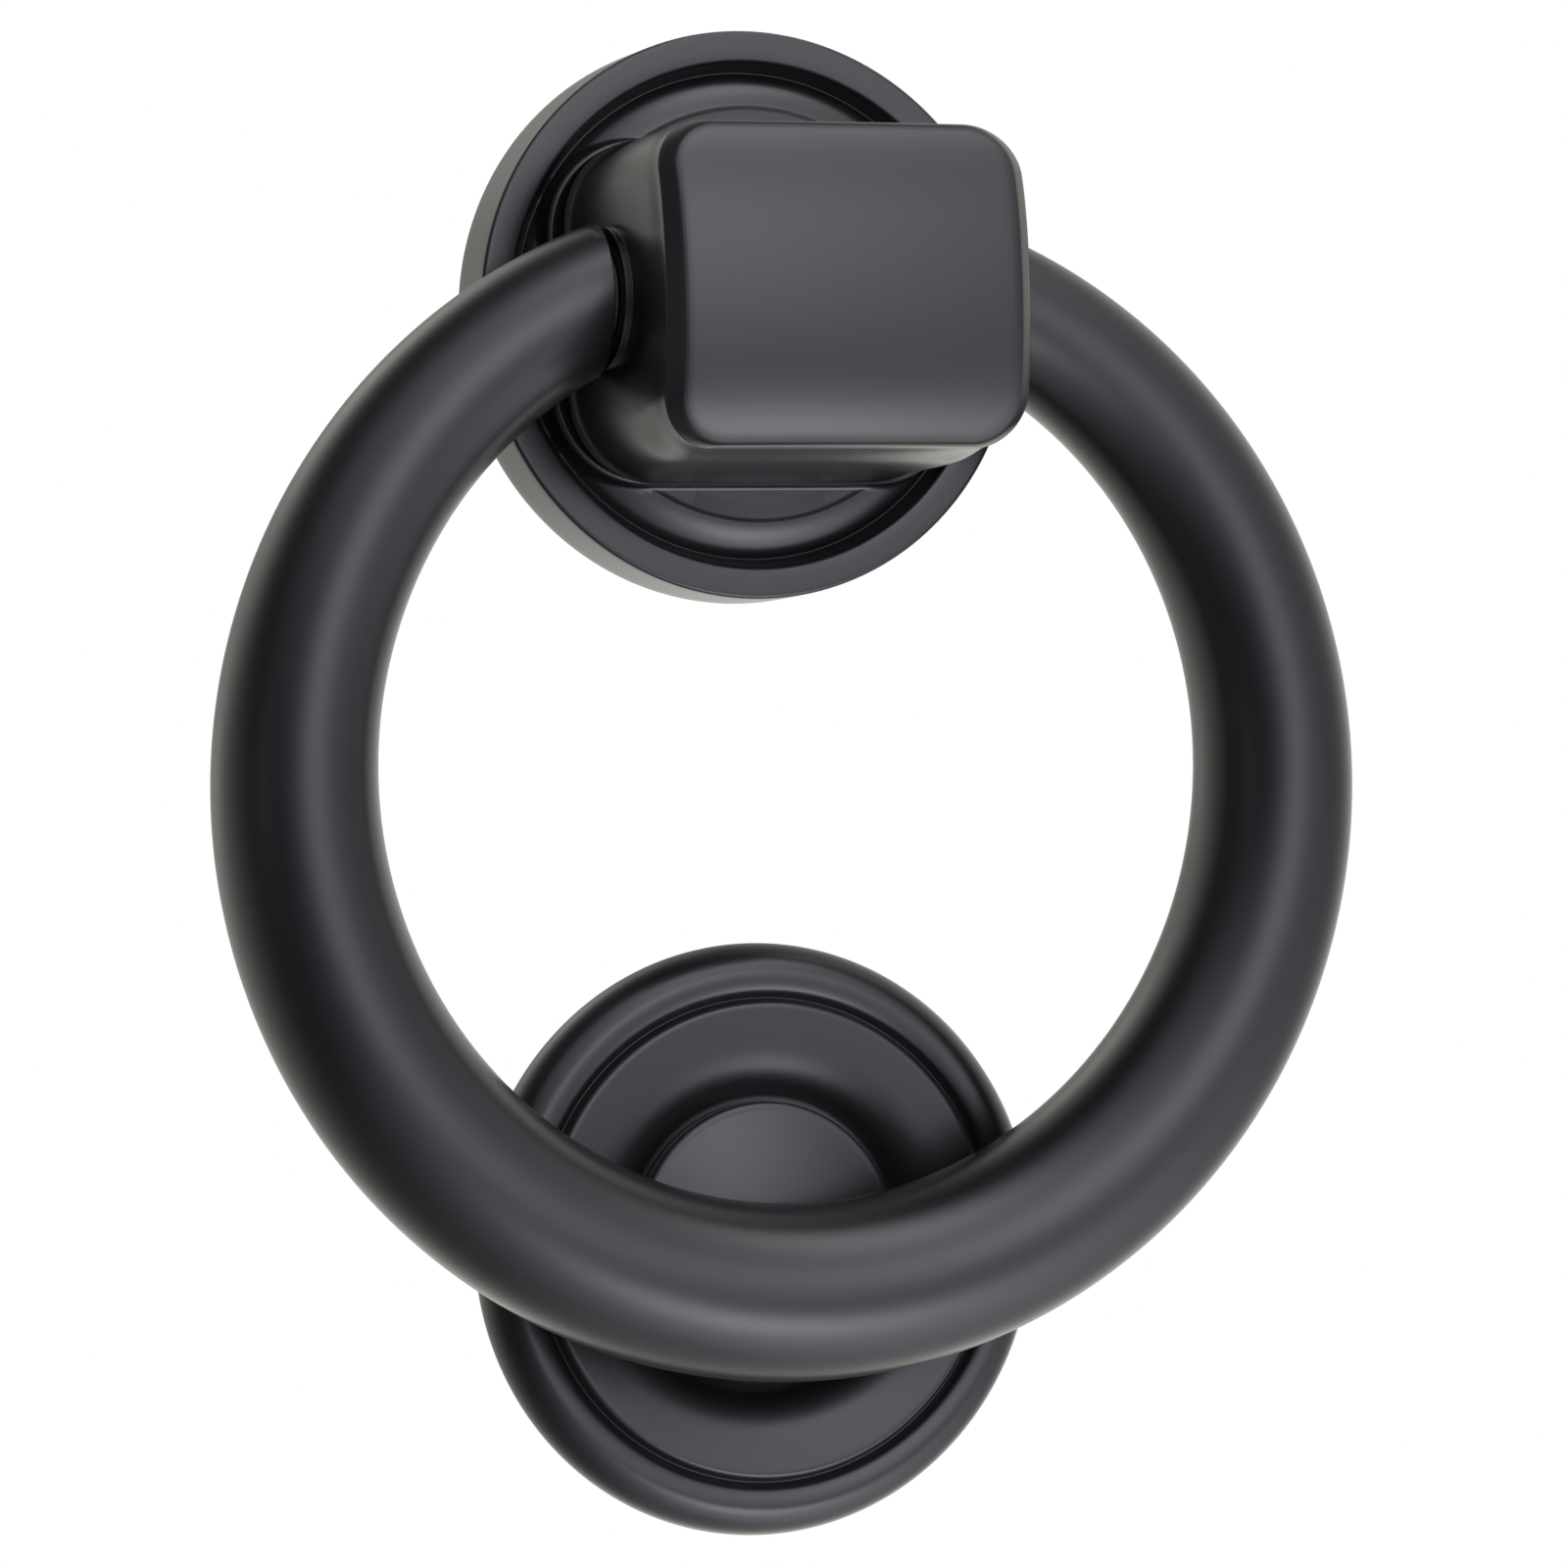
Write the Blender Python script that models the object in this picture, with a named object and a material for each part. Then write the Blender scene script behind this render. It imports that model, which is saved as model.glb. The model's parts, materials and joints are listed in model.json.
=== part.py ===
"""Ring door knocker: a thick C-shaped ring hung from a cast block on a round rose, and a strike rose below it.

Origin: centre of the upper rose's back, on the door's outer face. +Z is up and -Y points out of the door, so a
height h above the door is y = -h. The door itself isn't part of the object, and its thickness only sets where
the washers and nuts of the two through-door studs sit.
"""

import math

import bmesh
import bpy
from mathutils import Matrix, Vector

MM = 0.001

# What the object is set on
DOOR_THICKNESS = 44 * MM
STRIKE_BELOW = 93.7 * MM  # from the centre of the upper rose down to the centre of the strike rose

# Upper rose
ROSE_RADIUS = 28.9 * MM
ROSE_HEIGHT = 8.0 * MM
DISH_RADIUS = 25.6 * MM  # hollow in the back of both roses, which the gasket fills
DISH_DEPTH = 1.0 * MM
SEAT = (22.2 * MM, 17.45 * MM, 9.8 * MM)  # half width, half height and corner radius of the raised seat
SEAT_TOP = 9.6 * MM

# Block: the head is shaped like a cushion, which falls back faster and faster away from its middle
CUSHION_X = 1.8  # fall for each square metre sideways
CUSHION_Z = 8.0  # fall for each square metre up and down
CUSHION_Z_EDGE = 20000  # further fall up and down, with the fourth power of the distance
CUSHION_START = 22 * MM  # heights between which the neck's plain sections change into the head's
CUSHION_FULL = 35 * MM
HEAD_RISE = 0.4 * MM  # how far the head's middle stands above the foot's

# Strike rose and its button
STRIKE_RADIUS = 30.1 * MM
CUP_FLOOR = 2.5 * MM
BUTTON_RADIUS = 14.0 * MM
BUTTON_EDGE = 4.4 * MM  # where the dome meets the rounded edge
BUTTON_ROUNDING = 0.8 * MM
BUTTON_TOP = 5.9 * MM
BUTTON_SPIGOT = 6.0 * MM

# Ring
RING_HALF_WIDTH = 52.16 * MM  # centreline, sideways
RING_HALF_HEIGHT = 51.54 * MM  # centreline, up and down
RING_TUBE = 8.03 * MM
RING_TAPER = 0.99 * MM  # thinner by this at the top, thicker by this at the bottom
RING_SIDE_SWELL = 0.12 * MM
RING_LEAN = math.radians(2.09)  # at rest the bottom lies against the strike button
RING_DROP = 47.48 * MM  # from the pivot down to the centre of the ring
RING_END = 20.75 * MM  # the flat-cut ends, left and right of the middle
PIVOT = Vector((0, -18.5, 0.4)) * MM

# Pivot
PIN_RADIUS = 2.25 * MM
PIN_INNER = 6.4 * MM
PIN_OUTER = 26.2 * MM
RUNNING_CLEARANCE = 0.1 * MM
BOSS_RADIUS = 7.0 * MM
BOSS_FACE = 19.75 * MM
BUSH_RADIUS = 3.3 * MM
BLIND_HOLE_END = 26.5 * MM
SPRING_WIRE = 0.3 * MM
SPRING_RADIUS = 1.6 * MM
SPRING_TURNS = 6
SPRING_REACH = 5.8 * MM

# Fixings
STUD_RADIUS = 3.0 * MM
THREAD_RADIUS = 3.1 * MM  # holes that the studs screw into
STUD_CLEARANCE = 3.3 * MM  # holes that the studs pass through
BLOCK_THREAD_END = 15.0 * MM
BUTTON_THREAD_END = 4.6 * MM
STUD_TAIL = DOOR_THICKNESS + 8 * MM
WASHER_RADIUS = 9.0 * MM
WASHER_THICKNESS = 1.5 * MM
NUT_ACROSS_FLATS = 10 * MM
NUT_HEX_HEIGHT = 5 * MM
NUT_DOME_RADIUS = 4.75 * MM
SCREW_OFFSET = 12 * MM  # the block's two screws, left and right of the stud
SCREW_RADIUS = 1.9 * MM
SCREW_HEAD_RADIUS = 3.7 * MM
SCREW_TIP = 15.0 * MM
PEG_RADIUS = 1.25 * MM
PEG_Z = 17 * MM
PEG_REACH = 5 * MM

GAP = 0.3 * MM  # between pieces that touch
FINE = 48  # steps round a large turned piece
COARSE = 24  # steps round a small one
RING_STEPS = 68
RING_SIDES = 16
CORNER_STEPS = 5

OUT_OF_DOOR = Matrix.Rotation(math.radians(90), 4, "X")  # turns local +Z to world -Y
INTO_DOOR = Matrix.Rotation(math.radians(-90), 4, "X")  # turns local +Z to world +Y
ALONG_X = Matrix.Rotation(math.radians(90), 4, "Y")  # turns local +Z to world +X
DRILLED = OUT_OF_DOOR @ Matrix.Rotation(math.radians(4), 4, "Z")  # a drill's facets miss other edges


def clear_scene():
    for obj in list(bpy.data.objects):
        bpy.data.objects.remove(obj)


def make_material(name, colour, roughness, metallic):
    material = bpy.data.materials.new(name)
    material.use_nodes = True
    shader = material.node_tree.nodes["Principled BSDF"]
    shader.inputs["Base Color"].default_value = (*colour, 1)
    shader.inputs["Roughness"].default_value = roughness
    shader.inputs["Metallic"].default_value = metallic
    return material


def bulge(start, end, rise, steps):
    """Points after start up to end on the circular arc that leaves their chord by rise, to its left."""
    start, end = Vector(start), Vector(end)
    chord = end - start
    left = Vector((-chord.y, chord.x)).normalized()
    radius = (chord.length**2 / 4 + rise**2) / (2 * abs(rise))
    centre = (start + end) / 2 + left * (rise - math.copysign(radius, rise))
    half = math.asin(min(1, chord.length / 2 / radius)) * math.copysign(1, rise)
    points = []
    for step in range(1, steps + 1):
        turn = half * (1 - 2 * step / steps)
        away = left * math.copysign(radius, rise)
        points.append(tuple(centre + Matrix.Rotation(turn, 2) @ away))
    return points


def outline_mm(points):
    """A profile in metres from one in millimetres."""
    return [(radius * MM, height * MM) for radius, height in points]


def turned_mesh(profile, steps, turn):
    """A solid of revolution about local +Z, then turned. A profile that stays off the axis is joined end to
    start, which leaves a hole along the axis."""
    bm = bmesh.new()
    verts = [bm.verts.new((radius, 0, height)) for radius, height in profile]
    pairs = list(zip(verts, verts[1:]))
    if profile[0][0] > 0:
        pairs.append((verts[-1], verts[0]))
    edges = [bm.edges.new(pair) for pair in pairs]
    bmesh.ops.spin(bm, geom=verts + edges, axis=(0, 0, 1), angle=2 * math.pi, steps=steps)
    bmesh.ops.remove_doubles(bm, verts=bm.verts, dist=0.001 * MM)
    bm.transform(turn)
    return finished_mesh(bm)


def lofted_mesh(sections, closed=False):
    """A solid through sections of equal point count. It is capped at both ends, or joined last to first."""
    bm = bmesh.new()
    rings = [[bm.verts.new(point) for point in section] for section in sections]
    followers = rings[1:] + (rings[:1] if closed else [])
    for ring, following in zip(rings, followers):
        count = len(ring)
        for i in range(count):
            j = (i + 1) % count
            bm.faces.new((ring[i], ring[j], following[j], following[i]))
    if not closed:
        bm.faces.new(rings[0])
        bm.faces.new(rings[-1])
    return finished_mesh(bm)


def finished_mesh(bm):
    bmesh.ops.recalc_face_normals(bm, faces=bm.faces)
    mesh = bpy.data.meshes.new("mesh")
    bm.to_mesh(mesh)
    bm.free()
    mesh.shade_smooth()
    mesh.set_sharp_from_angle(angle=math.radians(35))
    return mesh


def add(name, data, material, location=(0, 0, 0), parent=None):
    obj = bpy.data.objects.new(name, data)
    obj.location = location
    obj.parent = parent
    data.name = name
    if material:
        data.materials.append(material)
    bpy.context.scene.collection.objects.link(obj)
    return obj


def helper(name, mesh, location=(0, 0, 0), parent=None):
    """A shape that only cuts or joins another, and isn't a piece."""
    obj = add(name, mesh, None, location, parent)
    obj.hide_render = True
    obj.display_type = "WIRE"
    return obj


def combine(obj, other, operation):
    modifier = obj.modifiers.new(other.name, "BOOLEAN")
    modifier.object = other
    modifier.operation = operation
    modifier.solver = "EXACT"


def cylinder(radius, low, high, turn, steps=COARSE):
    profile = [(0, low), (radius, low), (radius, high), (0, high)]
    return turned_mesh(profile, steps, turn)


def drill(obj, holes):
    """Cuts all of these (mesh, location) shapes, which lie apart from each other, out of obj in one step."""
    bm = bmesh.new()
    for mesh, location in holes:
        start = len(bm.verts)
        bm.from_mesh(mesh)
        bmesh.ops.translate(bm, verts=list(bm.verts)[start:], vec=location)
    combine(obj, helper(f"{obj.name}_holes", finished_mesh(bm), parent=obj.parent), "DIFFERENCE")


def tube(inner, outer, low, high, turn, chamfer=0.0, steps=COARSE):
    profile = [(inner, low), (outer - chamfer, low)]
    if chamfer:
        profile += [(outer, low + chamfer), (outer, high - chamfer)]
    else:
        profile += [(outer, low)]
    profile += [(outer - chamfer, high), (inner, high)]
    return turned_mesh(profile, steps, turn)


def rounded_outline(half_width, half_height, corner, height):
    """Points round a rectangle with round corners, in the plane at this height above the door."""
    points = []
    for quarter in range(4):
        across = 1 if quarter in (0, 3) else -1
        up = 1 if quarter in (0, 1) else -1
        centre_x = across * (half_width - corner)
        centre_z = up * (half_height - corner)
        for step in range(CORNER_STEPS + 1):
            angle = math.radians(90) * (quarter + step / CORNER_STEPS)
            x = centre_x + corner * math.cos(angle)
            z = centre_z + corner * math.sin(angle)
            points.append((x, -height, z))
    return points


def make_upper_rose(black):
    """Straight side, flat rim, steep drop to a round moulding and flat middle, with the raised seat."""
    side = [(25.6, 1.0), (25.6, 0), (28.5, 0), (28.9, 0.4), (28.85, 7.6)]
    rim = bulge((28.85, 7.6), (28.45, 8.0), -0.12, 3) + [(25.9, 8.0)]
    lip = bulge((25.9, 8.0), (25.5, 7.6), -0.1, 2) + [(24.75, 6.1)]
    moulding = bulge((24.75, 6.1), (21.1, 8.34), -0.4, 8)
    middle = [(20.9, 8.2), (0, 8.2)]
    profile = [(0, 1.0)] + side + rim + lip + moulding + middle
    rose = add("upper_rose", turned_mesh(outline_mm(profile), FINE, OUT_OF_DOOR), black)
    half_width, half_height, corner = SEAT
    edge = 0.4 * MM
    seat = helper(
        "rose_seat",
        lofted_mesh(
            [
                rounded_outline(*SEAT, 3 * MM),
                rounded_outline(*SEAT, SEAT_TOP - edge),
                rounded_outline(half_width - edge, half_height - edge, corner - edge, SEAT_TOP),
            ]
        ),
    )
    combine(rose, seat, "UNION")
    sink = [(0, 0), (4.1, 0), (4.1, 1.6), (2.3, 3.4), (2.3, 11), (0, 11)]
    screw_hole = turned_mesh(outline_mm(sink), COARSE, DRILLED)
    stud_hole = cylinder(STUD_CLEARANCE, -MM, SEAT_TOP + MM, DRILLED)
    peg_hole = cylinder(PEG_RADIUS + GAP, -MM, PEG_REACH + GAP, DRILLED)
    holes = [
        (stud_hole, (0, 0, 0)),
        (screw_hole, (-SCREW_OFFSET, 0, 0)),
        (screw_hole, (SCREW_OFFSET, 0, 0)),
        (peg_hole, (0, 0, PEG_Z)),
    ]
    drill(rose, holes)


def cushioned(x, height, z):
    """A point of the block, let back and raised as much as the head's cushion shape asks at this height."""
    share = min(1, max(0, (height - CUSHION_START) / (CUSHION_FULL - CUSHION_START)))
    share = share**2 * (3 - 2 * share)
    fall = (CUSHION_X * x**2 + CUSHION_Z * z**2 + CUSHION_Z_EDGE * z**4) * share
    return (x, fall - height, z + HEAD_RISE * share)


def block_sections():
    """From foot to face: height on the axis, half width, half height and corner radius in millimetres."""
    stations = [
        (9.9, 20.35, 17.05, 8.6),
        (10.2, 20.6, 17.25, 8.7),
        (10.4, 20.42, 17.15, 8.7),
        (10.8, 20.2, 17.05, 8.7),
        (11.4, 20.03, 16.95, 8.6),
        (12.2, 19.9, 16.85, 8.4),
        (13.5, 19.74, 16.8, 8.0),
        (16.0, 19.5, 16.75, 7.0),
        (20.0, 19.22, 16.6, 5.7),
        (24.0, 19.02, 16.4, 5.0),
        (28.0, 18.92, 16.15, 4.8),
        (32.0, 18.9, 16.0, 5.0),
        (35.3, 19.03, 16.0, 5.3),
        (35.8, 18.9, 15.97, 5.3),
        (36.35, 18.35, 15.9, 5.1),
        (36.75, 17.92, 15.75, 4.9),
        (37.0, 17.6, 15.5, 4.7),
        (37.12, 17.2, 15.1, 4.4),
        (37.15, 11.5, 10.1, 2.9),
        (37.15, 5.7, 5.0, 1.5),
        (37.15, 1.2, 1.05, 0.3),
    ]
    sections = []
    for height, half_width, half_height, corner in stations:
        outline = rounded_outline(half_width * MM, half_height * MM, corner * MM, 0)
        sections.append([cushioned(x, height * MM, z) for x, _, z in outline])
    return sections


def make_ring_block(black):
    """Foot, tapered neck and cushion-faced head, with a round boss on each side and the pins' cross bore."""
    block = add("ring_block", lofted_mesh(block_sections()), black)
    bosses = cylinder(BOSS_RADIUS, -BOSS_FACE, BOSS_FACE, ALONG_X, 40)
    combine(block, helper("block_bosses", bosses, PIVOT), "UNION")
    screw_hole = cylinder(SCREW_RADIUS + RUNNING_CLEARANCE, 0, SCREW_TIP + GAP, DRILLED)
    holes = [
        (cylinder(PIN_RADIUS + RUNNING_CLEARANCE, -BOSS_FACE - MM, BOSS_FACE + MM, ALONG_X), PIVOT),
        (cylinder(THREAD_RADIUS, 0, BLOCK_THREAD_END, DRILLED), (0, 0, 0)),
        (screw_hole, (-SCREW_OFFSET, 0, 0)),
        (screw_hole, (SCREW_OFFSET, 0, 0)),
    ]
    drill(block, holes)


def make_block_screws(steel):
    """Countersunk screws with a hexagon socket, driven from behind the rose."""
    head = 1.3 * MM
    profile = [
        (0, head),
        (SCREW_HEAD_RADIUS, head),
        (SCREW_HEAD_RADIUS, head + 0.3 * MM),
        (SCREW_RADIUS, head + 2.1 * MM),
        (SCREW_RADIUS, SCREW_TIP - 0.5 * MM),
        (SCREW_RADIUS - 0.5 * MM, SCREW_TIP),
        (0, SCREW_TIP),
    ]
    for side_name, across in (("left", -1), ("right", 1)):
        place = (across * SCREW_OFFSET, 0, 0)
        screw = add(f"block_screw_{side_name}", turned_mesh(profile, COARSE, OUT_OF_DOOR), steel)
        screw.location = place
        drill(screw, [(cylinder(1.4 * MM, 0, head + 1.4 * MM, DRILLED, 6), place)])


def make_anti_turn_pin(steel):
    chamfer = 0.5 * MM
    profile = [
        (0, -PEG_REACH),
        (PEG_RADIUS - chamfer, -PEG_REACH),
        (PEG_RADIUS, -PEG_REACH + chamfer),
        (PEG_RADIUS, PEG_REACH),
        (0, PEG_REACH),
    ]
    add("anti_turn_pin", turned_mesh(profile, 16, OUT_OF_DOOR), steel, (0, 0, PEG_Z))


def make_gaskets(rubber):
    """Thin discs in the dished backs of the roses, level with the rims."""
    radius = DISH_RADIUS - GAP
    thickness = DISH_DEPTH - GAP
    upper = add("upper_gasket", tube(4 * MM, radius, 0, thickness, OUT_OF_DOOR, steps=40), rubber)
    drill(upper, [(cylinder(PEG_RADIUS + GAP, -MM, DISH_DEPTH, DRILLED, 16), (0, 0, PEG_Z))])
    mesh = tube(BUTTON_SPIGOT + 2 * GAP, radius, 0, thickness, OUT_OF_DOOR, steps=40)
    add("strike_gasket", mesh, rubber, (0, 0, -STRIKE_BELOW))


def make_strike_rose(black):
    """Outer roll, fine groove, flat land and the round-shouldered cup that the button stands in."""
    back = [(6.3, 1.0), (25.6, 1.0), (25.6, 0), (29.7, 0), (30.1, 0.5)]
    outer_roll = bulge((30.1, 0.5), (27.2, 4.85), -0.95, 7)
    inner_roll = bulge((27.2, 4.85), (25.3, 4.6), -0.1, 3) + [(24.5, 3.7)]
    groove = [(23.9, 5.0)]
    cup = [(21.0, 4.65)] + bulge((21.0, 4.65), (14.6, 2.5), -0.5, 9) + [(6.3, 2.5)]
    profile = back + outer_roll + inner_roll + groove + cup
    mesh = turned_mesh(outline_mm(profile), FINE, OUT_OF_DOOR)
    add("strike_rose", mesh, black, (0, 0, -STRIKE_BELOW))


def make_strike_button(black):
    """Domed disc with a spigot through the strike rose, threaded from behind for the stud."""
    dome_edge = BUTTON_RADIUS - BUTTON_ROUNDING
    rise = BUTTON_TOP - BUTTON_EDGE
    sphere = (dome_edge**2 + rise**2) / (2 * rise)
    dome = []
    for step in range(8):
        radius = dome_edge * (1 - step / 7)
        dome.append((radius, BUTTON_TOP - sphere + math.sqrt(sphere**2 - radius**2)))
    spigot_end = DISH_DEPTH + GAP
    under = CUP_FLOOR + GAP
    profile = [
        (0, BUTTON_THREAD_END),
        (THREAD_RADIUS, BUTTON_THREAD_END),
        (THREAD_RADIUS, spigot_end),
        (BUTTON_SPIGOT, spigot_end),
        (BUTTON_SPIGOT, under),
        (BUTTON_RADIUS, under),
        (BUTTON_RADIUS, BUTTON_EDGE - 0.5 * MM),
    ]
    profile += bulge(profile[-1], dome[0], -0.22 * MM, 4)
    mesh = turned_mesh(profile + dome[1:], 40, OUT_OF_DOOR)
    add("strike_button", mesh, black, (0, 0, -STRIKE_BELOW))


def ring_section(angle, centre):
    """Points round the ring's tube where the centreline has turned by this angle from +X."""
    up = Vector((0, -math.sin(RING_LEAN), math.cos(RING_LEAN)))
    front = Vector((0, -math.cos(RING_LEAN), -math.sin(RING_LEAN)))
    across = Vector((1, 0, 0))
    middle = centre + across * RING_HALF_WIDTH * math.cos(angle) + up * RING_HALF_HEIGHT * math.sin(angle)
    outward = across * RING_HALF_HEIGHT * math.cos(angle) + up * RING_HALF_WIDTH * math.sin(angle)
    outward.normalize()
    radius = RING_TUBE - RING_TAPER * math.sin(angle) + RING_SIDE_SWELL * math.cos(2 * angle)
    points = []
    for side in range(RING_SIDES):
        around = 2 * math.pi * side / RING_SIDES
        points.append(middle + radius * (outward * math.cos(around) + front * math.sin(around)))
    return points


def make_ring(black, swing):
    """A full ring with its top cut away between the flat ends, and a blind hole in each end."""
    centre = Vector((0, math.sin(RING_LEAN), -math.cos(RING_LEAN))) * RING_DROP
    sections = [ring_section(2 * math.pi * i / RING_STEPS, centre) for i in range(RING_STEPS)]
    ring = add("ring", lofted_mesh(sections, closed=True), black, parent=swing)
    reach = 16 * MM
    box = [
        [(x, -reach, -reach), (x, reach, -reach), (x, reach, reach), (x, -reach, reach)]
        for x in (-RING_END, RING_END)
    ]
    combine(ring, helper("ring_mouth", lofted_mesh(box), parent=swing), "DIFFERENCE")
    bore = cylinder(BUSH_RADIUS + RUNNING_CLEARANCE, -BLIND_HOLE_END, BLIND_HOLE_END, ALONG_X)
    drill(ring, [(bore, (0, 0, 0))])


def make_pivot(steel, nylon, swing):
    """Two sprung pins in the block's bore, a bush for each in the ring, and a washer between ring and boss."""
    chamfer = 0.4 * MM
    for side_name, turn in (("left", ALONG_X @ Matrix.Rotation(math.pi, 4, "X")), ("right", ALONG_X)):
        pin = [
            (0, PIN_INNER),
            (PIN_RADIUS - chamfer, PIN_INNER),
            (PIN_RADIUS, PIN_INNER + chamfer),
            (PIN_RADIUS, PIN_OUTER - chamfer),
            (PIN_RADIUS - chamfer, PIN_OUTER),
            (0, PIN_OUTER),
        ]
        add(f"pivot_pin_{side_name}", turned_mesh(pin, COARSE, turn), steel, PIVOT)
        bore = PIN_RADIUS + RUNNING_CLEARANCE
        bush = tube(bore, BUSH_RADIUS, RING_END + 0.1 * MM, BLIND_HOLE_END - GAP, turn)
        add(f"pivot_bush_{side_name}", bush, nylon, parent=swing)
        washer = tube(bore + GAP, 5.2 * MM, BOSS_FACE + 0.15 * MM, RING_END - 0.2 * MM, turn)
        add(f"thrust_washer_{side_name}", washer, nylon, PIVOT)


def make_pivot_spring(steel):
    per_turn = 10
    count = SPRING_TURNS * per_turn
    curve = bpy.data.curves.new("pivot_spring", "CURVE")
    curve.dimensions = "3D"
    curve.bevel_depth = SPRING_WIRE
    curve.bevel_resolution = 1
    curve.use_fill_caps = True
    spline = curve.splines.new("POLY")
    spline.points.add(count)
    for i in range(count + 1):
        angle = 2 * math.pi * i / per_turn
        x = SPRING_REACH * (2 * i / count - 1)
        y = SPRING_RADIUS * math.cos(angle)
        z = SPRING_RADIUS * math.sin(angle)
        spline.points[i].co = (x, y, z, 1)
    add("pivot_spring", curve, steel, PIVOT)


def make_stud(name, outer_end, steel, centre):
    """Threaded stud from outer_end, a height in front of the door, to its tail behind the door."""
    chamfer = 0.6 * MM
    profile = [
        (0, -outer_end),
        (STUD_RADIUS - chamfer, -outer_end),
        (STUD_RADIUS, -outer_end + chamfer),
        (STUD_RADIUS, STUD_TAIL - chamfer),
        (STUD_RADIUS - chamfer, STUD_TAIL),
        (0, STUD_TAIL),
    ]
    add(name, turned_mesh(profile, COARSE, INTO_DOOR), steel, centre)


def make_washer_and_nut(prefix, steel, centre):
    """Plate washer on the inner face of the door, and the dome nut on it."""
    washer_end = DOOR_THICKNESS + WASHER_THICKNESS
    washer = tube(STUD_CLEARANCE, WASHER_RADIUS, DOOR_THICKNESS, washer_end, INTO_DOOR, 0.2 * MM, 32)
    add(f"{prefix}_washer", washer, steel, centre)
    low = washer_end + GAP
    high = low + NUT_HEX_HEIGHT
    corner = NUT_ACROSS_FLATS / 2 / math.cos(math.radians(30))
    nut = add(f"{prefix}_dome_nut", cylinder(corner, low, high, INTO_DOOR, 6), steel, centre)
    dome = [(0, low + MM), (NUT_DOME_RADIUS, low + MM)]
    for step in range(6):
        angle = math.radians(90) * step / 5
        dome.append((NUT_DOME_RADIUS * math.cos(angle), high + NUT_DOME_RADIUS * math.sin(angle)))
    dome[-1] = (0, high + NUT_DOME_RADIUS)
    cap = helper(f"{prefix}_nut_cap", turned_mesh(dome, COARSE, INTO_DOOR), centre)
    combine(nut, cap, "UNION")
    drill(nut, [(cylinder(THREAD_RADIUS, low - MM, STUD_TAIL + 0.5 * MM, INTO_DOOR), centre)])


def make_fixings(steel):
    upper = Vector((0, 0, 0))
    strike = Vector((0, 0, -STRIKE_BELOW))
    make_stud("upper_stud", BLOCK_THREAD_END - 0.5 * MM, steel, upper)
    make_stud("strike_stud", BUTTON_THREAD_END - GAP, steel, strike)
    make_washer_and_nut("upper", steel, upper)
    make_washer_and_nut("strike", steel, strike)


def main():
    clear_scene()
    black = make_material("black_powder_coat", (0.02, 0.021, 0.023), 0.45, 0.0)
    steel = make_material("zinc_plated_steel", (0.62, 0.62, 0.6), 0.35, 1.0)
    nylon = make_material("black_nylon", (0.03, 0.03, 0.03), 0.5, 0.0)
    rubber = make_material("black_rubber", (0.025, 0.025, 0.025), 0.8, 0.0)
    swing = bpy.data.objects.new("ring_swing", None)
    swing.location = PIVOT
    bpy.context.scene.collection.objects.link(swing)
    make_upper_rose(black)
    make_ring_block(black)
    make_block_screws(steel)
    make_anti_turn_pin(steel)
    make_gaskets(rubber)
    make_strike_rose(black)
    make_strike_button(black)
    make_ring(black, swing)
    make_pivot(steel, nylon, swing)
    make_pivot_spring(steel)
    make_fixings(steel)


main()
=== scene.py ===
"""Looks of the ring door knocker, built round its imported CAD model.

Everything is in the CAD's frame: the origin is the centre of the upper rose's back, +Z is up, and
-Y points out of the door, so a height h above the door is y = -h. Shapes are worked out in
millimetres, and skin() turns them into the frame's metres.
"""

import json
import math

import bmesh
import bpy
import numpy as np
from mathutils import Matrix, Vector


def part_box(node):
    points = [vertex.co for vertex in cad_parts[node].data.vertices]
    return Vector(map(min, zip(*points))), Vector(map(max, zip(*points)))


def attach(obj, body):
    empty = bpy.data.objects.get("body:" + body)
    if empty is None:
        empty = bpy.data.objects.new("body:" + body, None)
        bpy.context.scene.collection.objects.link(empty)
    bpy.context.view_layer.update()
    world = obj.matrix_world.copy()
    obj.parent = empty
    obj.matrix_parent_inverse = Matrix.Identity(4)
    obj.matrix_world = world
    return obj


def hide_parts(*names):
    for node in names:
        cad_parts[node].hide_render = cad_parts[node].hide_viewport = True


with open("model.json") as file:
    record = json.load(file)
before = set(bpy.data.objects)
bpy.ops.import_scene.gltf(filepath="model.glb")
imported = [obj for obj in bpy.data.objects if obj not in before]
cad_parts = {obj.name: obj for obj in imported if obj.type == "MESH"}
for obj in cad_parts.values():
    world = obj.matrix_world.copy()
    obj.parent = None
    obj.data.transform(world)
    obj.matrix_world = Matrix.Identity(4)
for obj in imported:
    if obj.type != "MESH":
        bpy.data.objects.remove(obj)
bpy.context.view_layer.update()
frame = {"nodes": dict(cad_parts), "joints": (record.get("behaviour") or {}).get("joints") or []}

MM = 0.001
RIGHT_ANGLE = math.radians(90)


def size_of(node):
    """(centre, size) of a CAD node in millimetres."""
    low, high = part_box(node)
    return (low + high) / 2 / MM, (high - low) / MM


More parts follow.
